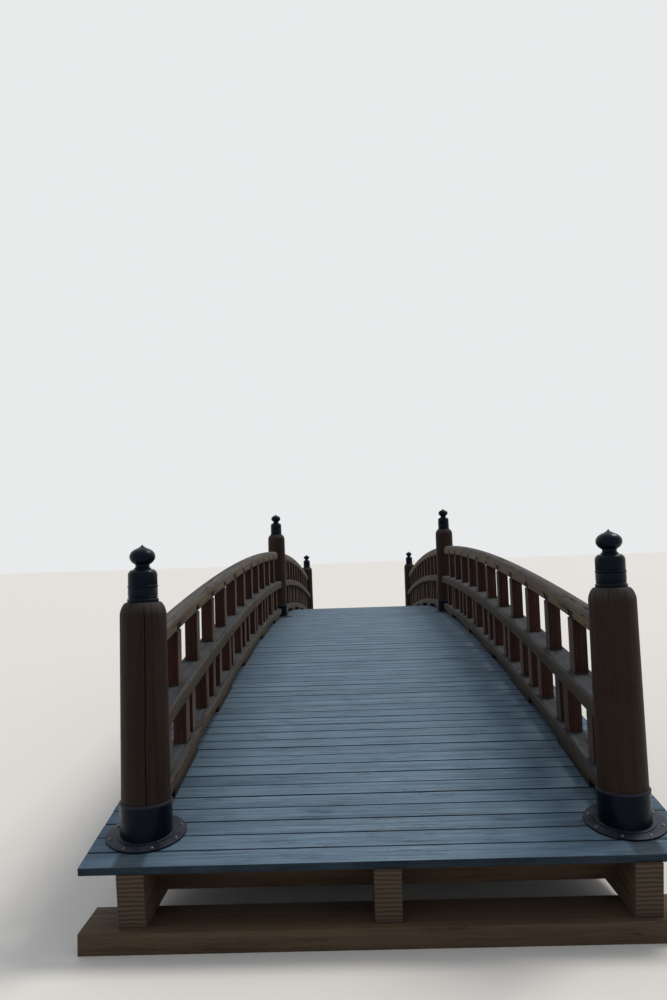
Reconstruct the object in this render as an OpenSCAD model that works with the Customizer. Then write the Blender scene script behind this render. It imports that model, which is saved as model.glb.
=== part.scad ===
// Arched timber footbridge with round posts and two bays of railing on each side.
// Millimetres. X runs across, Y along the bridge, Z up. The origin is on the floor under the crown.

/* [Span] */
// Distance between two posts along the bridge
bay_len = 7470; // [7000:10:9000]
// Drop of the deck from the crown to the end posts
deck_rise = 563; // [300:1:900]
// Deck beyond the end posts
deck_over = 324; // [250:1:500]
// Width of the deck
deck_w = 2940; // [2860:10:3400]
// Distance between the left and right posts
post_gap = 2440; // [2100:10:2520]
// Top of the deck above the floor at its two ends
deck_end_z = 400; // [380:1:460]

/* [Frame under the deck] */
// Thickness of the deck boards
deck_t = 38; // [30:1:60]
// Width of a girder
girder_w = 130; // [100:1:180]
// Depth of a girder
girder_d = 340; // [300:1:450]
// Height of the sill under each end
sill_h = 100; // [60:1:150]
// Width of that sill along the bridge
sill_w = 300; // [200:1:400]
// Thickness of a cross beam
cross_t = 80; // [50:1:120]
// Depth of a cross beam
cross_d = 240; // [150:1:280]
// Spaces between cross beams in one bay
cross_spaces = 4; // [2:1:6]

/* [Posts] */
// Radius of a post at its foot
post_foot_r = 127; // [100:1:140]
// Radius of a post under its shoulder
post_top_r = 120; // [95:1:130]
// Height of a post above the deck
post_h = 1181; // [1150:1:1400]
// Height of the rounded shoulder
shoulder_h = 64; // [30:1:80]
// Radius of the flat on top of a post
post_flat_r = 88; // [86:1:95]

/* [Post base] */
// Radius of the round flange
flange_r = 204; // [180:1:220]
// Thickness of the flange
flange_t = 9; // [6:1:14]
// Outer radius of the sleeve
sleeve_r = 133; // [131:1:145]
// Height of the sleeve above the deck
sleeve_h = 170; // [130:1:260]
// Radius of the raised ring round the sleeve
hub_r = 148; // [147:1:170]
// Height of that ring above the flange
hub_h = 5; // [3:1:10]

/* [Rails] */
// Distance that the balusters and the two lower rails stand outside the posts' axis
rail_out = 15; // [0:1:20]
// The same for the top rail
top_out = 23; // [0:1:25]
// Width of the top rail
top_w = 94; // [84:1:110]
// Height of the top rail
top_t = 117; // [105:1:130]
// Radius of the top rail's lower corners
top_corner = 22; // [10:1:30]
// Underside of the top rail above the deck at the middle post
top_mid = 820; // [760:1:900]
// The same at the end posts
top_end = 868; // [760:1:900]
// Width of the middle rail
middle_w = 170; // [110:1:180]
// Height of the middle rail
middle_t = 92; // [60:1:120]
// Underside of the middle rail above the deck at the middle post
middle_mid = 421; // [350:1:500]
// The same at the end posts
middle_end = 448; // [350:1:520]
// Bevel on the upper arrises of the middle and lower rails
bevel = 14; // [5:1:25]
// Width of the lower rail
lower_w = 144; // [110:1:160]
// Height of the lower rail, from the deck up
lower_t = 122; // [100:1:125]
// Feet of the lower rail in one bay
foot_count = 5; // [3:1:6]
// Length of a foot
foot_len = 660; // [400:10:700]
// Height of a foot, which is that of the drain gaps between the feet
foot_h = 46; // [25:1:50]

/* [Balusters] */
// Width of a baluster across the bridge
bal_w = 84; // [60:1:90]
// Depth of a baluster along the bridge
bal_d = 104; // [60:1:110]
// Upper balusters in one bay, two more than a multiple of three
bal_count = 11; // [5:3:11]
// Spacing of the upper balusters
bal_pitch = 598; // [500:1:620]
// Width of the tenon at the head of an upper baluster
tenon_w = 66; // [30:1:70]
// Height of the pocket that takes the tenon
pocket_h = 50; // [20:1:50]
// Play at each end of a tenon in its pocket
pocket_play = 2; // [1:1:4]

/* [Cap] */
// Height of a cap
cap_h = 302; // [296:1:330]
// Radius of the cap's bottom ring
ring_r = 82; // [80:1:85]
// Radius of the cap's skirt
skirt_r = 77; // [74:1:79]
// Radius of the neck
neck_r = 37; // [30:1:42]
// Radius of the bulb
bulb_r = 67; // [60:1:72]

/* [Hidden] */
$fn = 96;

wood_red = "#5a2e24";
wood_grey = "#7d6f62";
deck_blue = "#7c8794";
wood_dark = "#4b3a30";
metal_black = "#1d2126";

left = -1;
right = 1;
near = -1;
middle = 0;
far = 1;

// An arc is given by its radius and by the height of its crown, where Y is 0.
function arc_radius(span, drop) = (span * span + drop * drop) / (2 * drop);
function arc_z(r, crown, y) = crown - r + sqrt(r * r - y * y);

half_len = bay_len + deck_over;
deck_r = arc_radius(bay_len, deck_rise);
crown_z = deck_end_z + deck_r - sqrt(deck_r * deck_r - half_len * half_len);
post_z = crown_z - deck_rise;
end_slope = asin(bay_len / deck_r);

girder_r = deck_r - deck_t;
girder_crown = crown_z - deck_t;

top_r = arc_radius(bay_len, deck_rise - top_end + top_mid);
top_crown = crown_z + top_mid + top_t;
middle_r = arc_radius(bay_len, deck_rise - middle_end + middle_mid);
middle_crown = crown_z + middle_mid + middle_t;
lower_r = deck_r + lower_t;
lower_crown = crown_z + lower_t;

// Undersides that the balusters reach: the top rail, the pockets in it and the middle rail
soffit_r = top_r - top_t;
soffit_crown = top_crown - top_t;
pocket_r = soffit_r + pocket_h;
pocket_crown = soffit_crown + pocket_h;
under_r = middle_r - middle_t;
under_crown = middle_crown - middle_t;

bay_mid = bay_len / 2;
post_x = post_gap / 2;
rail_x = post_x + rail_out;
top_x = post_x + top_out;
foot_pitch = bay_len / foot_count;
gap_len = foot_pitch - foot_len;
bore_play = 0.5;
sleeve_play = 2;
beam_play = 1;
tall = 3000;
bend_step = 0.35;

function base_z(place) = place == middle ? crown_z : post_z;
function slope(place) = -place * end_slope;

// Centres of the upper balusters, measured from the middle of the bay
upper_at = [for (k = [0 : bal_count - 1]) (k - (bal_count - 1) / 2) * bal_pitch];

// Lower balusters come in threes under every third upper one, and in twos between
group_count = (bal_count - 2) / 3;
trio_at = [for (k = [0 : group_count - 1]) (k - (group_count - 1) / 2) * 3 * bal_pitch];
pair_at = [for (k = [0 : group_count]) (k - group_count / 2) * 3 * bal_pitch];
end_at = (group_count + 1) * 1.5 * bal_pitch - bal_pitch / 2;
lower_at = concat(
    [for (c = trio_at, k = [-1 : 1]) c + k * bal_pitch / 2],
    [for (c = pair_at, k = [-1, 1]) c + k * bal_pitch / 6],
    [-end_at, end_at]
);

// Bar bent to an arc in the YZ plane, from the crown to the given reach, as short lengths that meet
// at whole thousandths of a degree. Its child is the section, with X up from the arc and Y across.
module bend(r, crown, x, way, reach) {
    turn = round(1000 * asin(reach / r)) / 1000;
    translate([x, 0, crown - r])
        rotate([90, 0, 90])
            for (a = [0 : bend_step : turn]) {
                b = min(a + bend_step, turn);
                rotate_extrude(angle = b - a, start = way == near ? 90 + a : 90 - b)
                    translate([r, 0])
                        children();
            }
}

module plain_section(w, t) {
    translate([-t, -w / 2])
        square([t, w]);
}

// Half round above, upright at its sides, with rounded corners below
module round_section(w, t, corner) {
    translate([-w / 2, 0])
        circle(d = w);
    translate([corner - t, -w / 2])
        square([t - corner - w / 2, w]);
    translate([-t, corner - w / 2])
        square([corner, w - 2 * corner]);
    for (side = [left, right])
        translate([corner - t, side * (w / 2 - corner)])
            circle(r = corner);
}

module bevel_section(w, t, c) {
    polygon([[-t, -w / 2], [-c, -w / 2], [0, -w / 2 + c], [0, w / 2 - c], [-c, w / 2], [-t, w / 2]]);
}

// Girder with both ends cut level to sit on the sills
module girder(x) {
    color(wood_dark)
        difference() {
            for (way = [near, far])
                bend(girder_r, girder_crown, x, way, half_len)
                    plain_section(girder_w, girder_d);
            translate([x - girder_w, -2 * half_len, sill_h - tall])
                cube([2 * girder_w, 4 * half_len, tall]);
        }
}

module cross_beams() {
    reach = post_x - girder_w;
    color(wood_dark)
        for (k = [-cross_spaces : cross_spaces], side = [left, right]) {
            a = asin(k * bay_len / cross_spaces / deck_r);
            translate([side * (girder_w + reach) / 2, 0, crown_z - deck_r])
                rotate([-a, 0, 0])
                    translate([-reach / 2, -cross_t / 2, girder_r - cross_d - beam_play])
                        cube([reach, cross_t, cross_d]);
        }
}

module sill(place) {
    color(wood_dark)
        translate([-deck_w / 2, place * (half_len - sill_w / 2) - sill_w / 2, 0])
            cube([deck_w, sill_w, sill_h]);
}

module deck() {
    color(deck_blue)
        for (way = [near, far])
            bend(deck_r, crown_z, 0, way, half_len)
                plain_section(deck_w, deck_t);
}

// Space above the flange's upper face, which leans with the deck
module above_flange(place, lift) {
    translate([0, 0, lift])
        rotate([slope(place), 0, 0])
            translate([-tall / 2, -tall / 2, 0])
                cube([tall, tall, tall]);
}

module post_solid() {
    translate([0, 0, -shoulder_h])
        cylinder(h = post_h, r1 = post_foot_r, r2 = post_top_r);
    translate([0, 0, post_h - shoulder_h])
        rotate_extrude()
            shoulder_section();
}

// Full curve from the post's side to the flat under the cap
module shoulder_section() {
    steps = 12;
    fullness = 1.6;
    polygon(concat(
        [[0, 0]],
        [for (k = [0 : steps]) let (u = sin(90 * k / steps)) [
            post_flat_r + (post_top_r - post_flat_r) * pow(1 - pow(u, fullness), 1 / fullness),
            shoulder_h * u
        ]],
        [[0, shoulder_h]]
    ));
}

module post(side, place) {
    color(wood_red)
        translate([side * post_x, place * bay_len, base_z(place)])
            intersection() {
                post_solid();
                above_flange(place, flange_t);
            }
}

// Points of the cap's profile: part of an ellipse, a rounded bead and the hollow waist under the tip
function ellipse(r, z, dr, dz, from, to, steps) = [
    for (k = [0 : steps]) let (a = from + (to - from) * k / steps) [r + dr * cos(a), z + dz * sin(a)]
];
function bead(r, z0, z1, bulge) = ellipse(r, (z0 + z1) / 2, bulge, (z1 - z0) / 2, -90, 90, 6);
function waist(r0, z0, r1, z1, steps) = [
    for (k = [1 : steps]) [r1 + (r0 - r1) * pow(1 - k / steps, 1.8), z0 + (z1 - z0) * k / steps]
];

module cap(side, place) {
    ring_h = 19;
    roll_z = 23;
    roll_h = 10;
    skirt_z = 36;
    band_z = 76;
    band_h = 12;
    shoulder_z = 142;
    collar_z = 172;
    collar_h = 11;
    bulb_z = 238;
    bulb_down = 50;
    bulb_up = 47;
    waist_at = 60;
    tip_r = 1.2;
    groove_r = skirt_r - 3;
    collar_r = neck_r + 7;
    color(metal_black)
        translate([side * post_x, place * bay_len, base_z(place) + post_h])
            rotate_extrude()
                polygon(concat(
                    [[0, 0], [ring_r - 3, 0]],
                    bead(ring_r - 3, 1, ring_h, 3),
                    [[groove_r, ring_h + 1]],
                    bead(groove_r, roll_z, roll_z + roll_h, 4),
                    [[groove_r, skirt_z - 2], [skirt_r, skirt_z]],
                    [[skirt_r, band_z - 3], [groove_r, band_z - 1]],
                    bead(skirt_r, band_z, band_z + band_h, 2),
                    [[groove_r, band_z + band_h + 1], [skirt_r - 1, band_z + band_h + 3]],
                    ellipse(collar_r, shoulder_z, skirt_r - 1 - collar_r, collar_z - shoulder_z, 0, 90, 8),
                    [[collar_r, collar_z + collar_h / 2], [neck_r, collar_z + collar_h]],
                    ellipse(0, bulb_z, bulb_r, bulb_down, -acos(neck_r / bulb_r), 0, 8),
                    ellipse(0, bulb_z, bulb_r, bulb_up, waist_at / 8, waist_at, 7),
                    waist(bulb_r * cos(waist_at), bulb_z + bulb_up * sin(waist_at), tip_r, cap_h, 8),
                    [[0, cap_h]]
                ));
}

// Round sleeve on a flange that leans with the deck
module base(side, place) {
    color(metal_black)
        translate([side * post_x, place * bay_len, base_z(place)]) {
            rotate([slope(place), 0, 0])
                cylinder(h = flange_t, r = flange_r);
            intersection() {
                difference() {
                    union() {
                        translate([0, 0, -shoulder_h])
                            cylinder(h = sleeve_h + shoulder_h, r = sleeve_r);
                        rotate([slope(place), 0, 0])
                            cylinder(h = flange_t + hub_h, r = hub_r);
                    }
                    translate([0, 0, -shoulder_h])
                        cylinder(h = tall, r = post_foot_r + bore_play);
                }
                above_flange(place, flange_t);
            }
        }
}

// The bay's rails stop at the round faces of its two posts
module bay_posts(side, way) {
    for (place = [middle, way])
        translate([side * post_x, place * bay_len, base_z(place)])
            post_solid();
}

// Upright block around x and y, d long along the bridge and w wide across it, cut off below by one
// arc and above by another
module upright(x, y, w, d, low_r, low_crown, high_r, high_crown) {
    translate([x - w / 2, 0, 0])
        rotate([90, 0, 90])
            linear_extrude(w)
                polygon([
                    [y - d / 2, arc_z(low_r, low_crown, y - d / 2)],
                    [y + d / 2, arc_z(low_r, low_crown, y + d / 2)],
                    [y + d / 2, arc_z(high_r, high_crown, y + d / 2)],
                    [y - d / 2, arc_z(high_r, high_crown, y - d / 2)]
                ]);
}

module top_rail(side, way) {
    color(wood_grey)
        difference() {
            bend(top_r, top_crown, side * top_x, way, bay_len)
                round_section(top_w, top_t, top_corner);
            for (c = upper_at)
                upright(side * top_x, way * (bay_mid + c), 2 * top_w, bal_d + 2 * pocket_play,
                    middle_r, middle_crown, pocket_r, pocket_crown);
            bay_posts(side, way);
        }
}

module middle_rail(side, way) {
    color(wood_grey)
        difference() {
            bend(middle_r, middle_crown, side * rail_x, way, bay_len)
                bevel_section(middle_w, middle_t, bevel);
            bay_posts(side, way);
        }
}

// Bar with drain gaps under it, in the middle between its feet and at both posts
module lower_rail(side, way) {
    color(wood_grey)
        difference() {
            bend(lower_r, lower_crown, side * rail_x, way, bay_len)
                bevel_section(lower_w, lower_t, bevel);
            for (k = [0 : foot_count])
                translate([side * rail_x, 0, crown_z - deck_r])
                    rotate([-way * asin(k * foot_pitch / deck_r), 0, 0])
                        translate([-lower_w, -gap_len / 2, deck_r - foot_h])
                            cube([2 * lower_w, gap_len, 2 * foot_h]);
            for (place = [middle, way])
                translate([side * post_x, place * bay_len, base_z(place) - tall / 2])
                    cylinder(h = tall, r = sleeve_r + sleeve_play);
        }
}

module upper_balusters(side, way) {
    color(wood_red)
        for (c = upper_at) {
            y = way * (bay_mid + c);
            upright(side * rail_x, y, bal_w, bal_d, middle_r, middle_crown, soffit_r, soffit_crown);
            upright(side * rail_x, y, tenon_w, bal_d, middle_r, middle_crown, pocket_r, pocket_crown);
        }
}

module lower_balusters(side, way) {
    color(wood_red)
        for (c = lower_at)
            upright(side * rail_x, way * (bay_mid + c), bal_w, bal_d,
                lower_r, lower_crown, under_r, under_crown);
}

girder(-post_x);  // left_girder
girder(0);  // middle_girder
girder(post_x);  // right_girder
cross_beams();
sill(near);  // near_sill
sill(far);  // far_sill
deck();
post(left, near);  // near_left_post
post(right, near);  // near_right_post
post(left, middle);  // middle_left_post
post(right, middle);  // middle_right_post
post(left, far);  // far_left_post
post(right, far);  // far_right_post
cap(left, near);  // near_left_cap
cap(right, near);  // near_right_cap
cap(left, middle);  // middle_left_cap
cap(right, middle);  // middle_right_cap
cap(left, far);  // far_left_cap
cap(right, far);  // far_right_cap
base(left, near);  // near_left_base
base(right, near);  // near_right_base
base(left, middle);  // middle_left_base
base(right, middle);  // middle_right_base
base(left, far);  // far_left_base
base(right, far);  // far_right_base
top_rail(left, near);  // near_left_top_rail
top_rail(right, near);  // near_right_top_rail
top_rail(left, far);  // far_left_top_rail
top_rail(right, far);  // far_right_top_rail
middle_rail(left, near);  // near_left_middle_rail
middle_rail(right, near);  // near_right_middle_rail
middle_rail(left, far);  // far_left_middle_rail
middle_rail(right, far);  // far_right_middle_rail
lower_rail(left, near);  // near_left_lower_rail
lower_rail(right, near);  // near_right_lower_rail
lower_rail(left, far);  // far_left_lower_rail
lower_rail(right, far);  // far_right_lower_rail
upper_balusters(left, near);  // near_left_upper_balusters
upper_balusters(right, near);  // near_right_upper_balusters
upper_balusters(left, far);  // far_left_upper_balusters
upper_balusters(right, far);  // far_right_upper_balusters
lower_balusters(left, near);  // near_left_lower_balusters
lower_balusters(right, near);  // near_right_lower_balusters
lower_balusters(left, far);  // far_left_lower_balusters
lower_balusters(right, far);  // far_right_lower_balusters
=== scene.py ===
"""Looks of an arched timber footbridge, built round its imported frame.

Every piece of timber and metal is made here as a mesh with grain coordinates in metres and stands for
its solid in the frame. X runs across the bridge, Y along it and Z up, in metres.
"""

import math
import random

import bmesh
import bpy
from bpy.props import FloatProperty, FloatVectorProperty, IntProperty, PointerProperty
from mathutils import Matrix, Vector


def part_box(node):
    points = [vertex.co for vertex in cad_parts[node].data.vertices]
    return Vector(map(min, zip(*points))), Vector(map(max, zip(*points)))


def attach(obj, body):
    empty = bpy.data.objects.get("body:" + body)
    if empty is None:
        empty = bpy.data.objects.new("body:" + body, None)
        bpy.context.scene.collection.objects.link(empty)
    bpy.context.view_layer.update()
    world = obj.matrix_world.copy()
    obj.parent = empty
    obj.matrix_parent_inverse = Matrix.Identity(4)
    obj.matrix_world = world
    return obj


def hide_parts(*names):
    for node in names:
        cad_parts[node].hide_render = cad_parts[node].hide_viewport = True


bl_info = {
    "name": "Arched Footbridge",
    "version": (1, 0, 0),
    "blender": (4, 5, 0),
    "location": "View3D > Sidebar > Footbridge",
    "description": "Builds the boards, rails, posts and ironwork of an arched timber footbridge",
    "category": "Object",
}

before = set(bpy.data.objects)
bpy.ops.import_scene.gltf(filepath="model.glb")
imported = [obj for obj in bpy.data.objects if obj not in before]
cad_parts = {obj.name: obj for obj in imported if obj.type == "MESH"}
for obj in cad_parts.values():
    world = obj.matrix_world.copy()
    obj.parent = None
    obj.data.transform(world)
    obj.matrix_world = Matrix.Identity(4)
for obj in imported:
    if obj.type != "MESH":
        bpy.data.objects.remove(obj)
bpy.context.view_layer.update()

SIDES = (("left", -1), ("right", 1))
WAYS = (("near", -1), ("far", 1))
PLACES = (("near", -1), ("middle", 0), ("far", 1))
MM = 0.001
# Two heights closer than this are the same one.
HAIR = 0.1 * MM


# Places read from the frame
def cap_foot(place):
    """Height of the top of a post, where its cap stands."""
    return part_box(f"{place}_left_cap")[0].z


def middle_of(node):
    """The middle of a node's box, across and along the bridge."""
    low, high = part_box(node)
    return (low.x + high.x) / 2, (low.y + high.y) / 2


HALF_DECK, HALF_LENGTH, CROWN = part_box("deck")[1]
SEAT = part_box("far_sill")[1].z
POST_X, BAY = middle_of("far_right_cap")
RAIL_X = middle_of("far_right_middle_rail")[0]
TOP_X = middle_of("far_right_top_rail")[0]
RISE = cap_foot("middle") - cap_foot("far")
POST_TOP = cap_foot("middle") - CROWN


class Arc:
    """A line bent over the bridge, round a centre below it."""

    def __init__(self, radius, centre):
        self.radius, self.centre = radius, centre

    @classmethod
    def through(cls, crown, end):
        """The arc with that height at the middle of the bridge and that height at the end posts."""
        drop = crown - end
        radius = (BAY * BAY + drop * drop) / (2 * drop)
        return cls(radius, crown - radius)

    def raised(self, above):
        """The arc that lies so far above this one all along."""
        return Arc(self.radius + above, self.centre)

    def point(self, x, along, above=0.0):
        """The place that is so far along the arc from the crown, and so far above it."""
        turn = along / self.radius
        reach = self.radius + above
        return Vector((x, reach * math.sin(turn), self.centre + reach * math.cos(turn)))

    def along(self, y, above=0.0):
        """How far along the arc the plane at y lies, for a point so far above the arc."""
        return self.radius * math.asin(y / (self.radius + above))

    def height(self, y):
        """Height of the arc over the floor at y."""
        return self.centre + math.sqrt(self.radius ** 2 - y * y)

    def stand(self, along, above=0.0):
        """The place so far along the middle line, and the directions along the arc and straight up there."""
        turn = along / self.radius
        forward = Vector((0, math.cos(turn), -math.sin(turn)))
        return self.point(0, along, above), forward, Vector((0, math.sin(turn), math.cos(turn)))


DECK_ARC = Arc.through(CROWN, CROWN - RISE)
END_SLOPE = math.tan(math.asin(BAY / DECK_ARC.radius))


def each_bay():
    """Every bay of railing: its name, the way that it runs along the bridge, and its side."""
    for way_name, way in WAYS:
        for side_name, side in SIDES:
            yield f"{way_name}_{side_name}", way, side


def each_post():
    """Every post: its name, the middle of its foot on the deck, and the deck's slope towards +Y there."""
    for place_name, place in PLACES:
        for side_name, side in SIDES:
            foot = Vector((side * POST_X, place * BAY, cap_foot(place_name) - POST_TOP))
            yield f"{place_name}_{side_name}", foot, -place * END_SLOPE


# Sizes and colours
def linear(colour):
    """Turns an sRGB hex colour into linear red, green, blue and alpha."""
    parts = [int(colour[i:i + 2], 16) / 255 for i in (1, 3, 5)]
    return [p / 12.92 if p <= 0.04045 else ((p + 0.055) / 1.055) ** 2.4 for p in parts] + [1.0]


def shaded(tint, factor):
    """A linear colour made darker or lighter by that factor."""
    return [min(1.0, c * factor) for c in tint[:3]] + [1.0]


def length(label, text, default):
    """A size in metres, given in millimetres."""
    return FloatProperty(name=label, description=text, default=default * MM, unit="LENGTH", precision=4)


def colour(label, text, default):
    """A colour, given as sRGB hex."""
    return FloatVectorProperty(
        name=label, description=text, default=linear(default), subtype="COLOR", size=4, min=0, max=1)


class BridgeDeckSettings(bpy.types.PropertyGroup):
    """Sizes of the deck and of the frame under it."""

    board_pitch: length("Board pitch", "From one board to the next", 146)
    board_gap: length("Board gap", "Open joint between two boards", 6)
    board_depth: length("Board depth", "Thickness of the boards", 38)
    board_round: length("Board arris", "Radius of a board's upper arrises", 3)
    screw_head: length("Screw head", "Width of a screw head in a board", 8)
    girder_width: length("Girder width", "Width of an arched girder", 130)
    girder_depth: length("Girder depth", "Depth of an arched girder", 340)
    lamella: length("Lamella", "Thickness of the layers glued into a girder", 40)
    beam_width: length("Beam width", "Thickness of a cross beam", 80)
    beam_depth: length("Beam depth", "Depth of a cross beam", 240)
    beam_spaces: IntProperty(name="Beam spaces", description="Spaces between beams in a bay", default=4)


class BridgeRailSettings(bpy.types.PropertyGroup):
    """Sizes of the rails and balusters."""

    top_width: length("Top rail width", "Width of the top rail", 94)
    top_depth: length("Top rail depth", "Height of the top rail", 117)
    top_corner: length("Top rail corner", "Radius of the top rail's lower corners", 22)
    top_mid: length("Top rail at the middle", "Top of the rail over the deck at the middle post", 937)
    top_end: length("Top rail at the ends", "Top of the rail over the deck at the end posts", 985)
    middle_width: length("Middle rail width", "Width of the middle rail", 170)
    middle_depth: length("Middle rail depth", "Height of the middle rail", 92)
    middle_mid: length("Middle rail at the middle", "Its top over the deck at the middle post", 513)
    middle_end: length("Middle rail at the ends", "Its top over the deck at the end posts", 540)
    lower_width: length("Lower rail width", "Width of the lower rail", 144)
    lower_depth: length("Lower rail depth", "Height of the lower rail", 122)
    bevel: length("Bevel", "Bevel on the upper arrises of the middle and lower rails", 14)
    foot_length: length("Foot length", "Length of a foot of the lower rail", 660)
    foot_height: length("Foot height", "Height of the drain gaps between the feet", 46)
    foot_count: IntProperty(name="Feet", description="Feet of the lower rail in a bay", default=5)
    pocket_height: length("Pocket height", "Height of the pocket that takes a baluster's tenon", 50)
    pocket_play: length("Pocket play", "Play at each end of a tenon", 2)
    baluster_width: length("Baluster width", "Width of a baluster across the bridge", 84)
    baluster_depth: length("Baluster depth", "Depth of a baluster along the bridge", 104)
    tenon_width: length("Tenon width", "Width of the tenon at a baluster's head", 66)
    baluster_pitch: length("Baluster pitch", "From one upper baluster to the next", 598)
    baluster_count: IntProperty(name="Balusters", description="Upper balusters in a bay", default=11)
    arris: length("Arris", "Radius of the small rounding on sawn edges", 4)


class BridgePostSettings(bpy.types.PropertyGroup):
    """Sizes of the posts and their bases."""

    foot_radius: length("Foot radius", "Radius of a post at its foot", 127)
    top_radius: length("Top radius", "Radius of a post under its shoulder", 120)
    flat_radius: length("Flat radius", "Radius of the flat under the cap", 88)
    shoulder: length("Shoulder", "Height of the rounded shoulder", 64)
    flange_radius: length("Flange radius", "Radius of the round flange", 204)
    flange_depth: length("Flange thickness", "Thickness of the flange", 9)
    sleeve_radius: length("Sleeve radius", "Outer radius of the sleeve", 133)
    sleeve_height: length("Sleeve height", "Top of the sleeve over the deck", 170)
    sleeve_play: length("Sleeve play", "From the sleeve to the ends of the lower rails", 2)
    hub_radius: length("Hub radius", "Outer radius of the raised ring", 148)
    hub_height: length("Hub height", "Height of the raised ring", 5)
    bolt_circle: length("Bolt circle", "Radius of the circle of bolts", 180)
    bolt_size: length("Bolt head", "Across the flats of a bolt head", 11)
    bolt_count: IntProperty(name="Bolts", description="Bolts in a flange", default=8)


class BridgeColourSettings(bpy.types.PropertyGroup):
    """Colours of the timber and the iron."""

    post_light: colour("Post, light", "Worn stain on the round posts", "#36261e")
    post_dark: colour("Post, dark", "Deep stain on the round posts", "#181311")
    # On the posts this grey is worn stain and painted sky reflection on the shoulders.
    post_grey: colour("Post, weathered", "Bare wood where the stain has gone", "#4b4a4c")
    baluster_light: colour("Baluster, light", "Worn stain on the balusters", "#42271d")
    baluster_dark: colour("Baluster, dark", "Deep stain on the balusters", "#180f0c")
    # The balusters' grey is painted sky light on their inner faces.
    baluster_grey: colour("Baluster, weathered", "Bare wood on the balusters' inner faces", "#6a6059")
    rail_light: colour("Rail, light", "Sun-bleached timber of the rails", "#705f47")
    rail_dark: colour("Rail, dark", "Stained timber of the rails", "#352c22")
    # On the top rails this grey is silvered wood and painted sky light on their round.
    rail_grey: colour("Top rail, weathered", "Silvered wood on the top rails", "#5d5d5d")
    # The middle and lower rails take a darker copy of the rails' colours: damp wood and painted shade, with
    # painted sky light in the bluish grey of their upper faces.
    damp_light: colour("Lower rails, light", "Faded timber of the middle and lower rails", "#53483b")
    damp_dark: colour("Lower rails, dark", "Damp timber of the middle and lower rails", "#26221c")
    damp_grey: colour("Lower rails, weathered", "Damp grey wood on their upper faces", "#40454b")
    # The blue tint of the three board colours is painted sky reflection on silvered grey wood.
    deck_light: colour("Board, light", "Silvered wood of the boards", "#607a90")
    deck_dark: colour("Board, dark", "Damp grey wood of the boards", "#334a5f")
    deck_grey: colour("Board, worn", "Pale wood that feet keep clean", "#748c9f")
    frame_light: colour("Frame, light", "Worn treated timber of the frame", "#6d5a47")
    frame_dark: colour("Frame, dark", "Treated timber of the frame", "#40352b")
    frame_grey: colour("Frame, weathered", "Silvered wood on the frame's faces", "#77716a")
    # The bluish tints of the iron and of its film are painted sky reflection; the film is also dust.
    iron: colour("Iron", "Black coat on the caps and bases", "#05080e")
    dust: colour("Dust", "Dust that settles on the iron", "#3a3d49")
    # The lip's paler coat is a painted highlight along its roll.
    lip: colour("Sleeve lip", "Rubbed coat at the top of the sleeves", "#2c2c34")
    bolt: colour("Bolt", "Galvanised bolt heads", "#7b8086")
    screw: colour("Screw", "Dull heads of the deck's screws", "#4d545c")
    floor: colour("Floor", "Studio floor", "#e4e3e0")


def settings(group):
    """The scene's settings of one group: deck, rail, post or colour."""
    return getattr(bpy.context.scene, f"bridge_{group}")


# Meshes
def outline_of(right, steps=3):
    """Closed outline, alike on both sides, through the corners of its right side from the bottom up.

    A corner is its x, its y and the radius that rounds it.
    """
    left = [(-x, y, radius) for x, y, radius in reversed(right)]
    corners = left[-1:] + right + left[:-1]
    points = []
    for i, (x, y, radius) in enumerate(corners):
        here = Vector((x, y))
        if radius == 0:
            points.append(here)
            continue
        back = (Vector(corners[i - 1][:2]) - here).normalized()
        ahead = (Vector(corners[(i + 1) % len(corners)][:2]) - here).normalized()
        half = back.angle(ahead) / 2
        middle = here + (back + ahead).normalized() * (radius / math.sin(half))
        start = here + back * (radius / math.tan(half)) - middle
        end = here + ahead * (radius / math.tan(half)) - middle
        sweep = start.angle_signed(end)
        for k in range(steps + 1):
            points.append(middle + Matrix.Rotation(-sweep * k / steps, 2) @ start)
    return points


def circle(sides, radius):
    """Points of a circle round the origin."""
    turns = [2 * math.pi * k / sides for k in range(sides)]
    return [Vector((math.cos(turn), math.sin(turn))) * radius for turn in turns]


def ellipse(radius, height, across, up, start, end, steps):
    """Points of part of an ellipse round (radius, height), between two angles in degrees."""
    turns = [math.radians(start + (end - start) * k / steps) for k in range(steps + 1)]
    return [(radius + across * math.cos(t), height + up * math.sin(t)) for t in turns]


def bead(radius, low, high, bulge, steps=8):
    """A rounded ring that stands out from the radius."""
    return ellipse(radius, (low + high) / 2, bulge, (high - low) / 2, -90, 90, steps)


def girth_of(outline):
    """Distance round the outline at each of its points, and at the first one again."""
    total, marks = 0.0, [0.0]
    for a, b in zip(outline, outline[1:] + outline[:1]):
        total += (b - a).length
        marks.append(total)
    return marks


def placed(name, data):
    """A new object in the scene, of that mesh, lamp or camera."""
    made = bpy.data.objects.new(name, data)
    bpy.context.scene.collection.objects.link(made)
    return made


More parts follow.
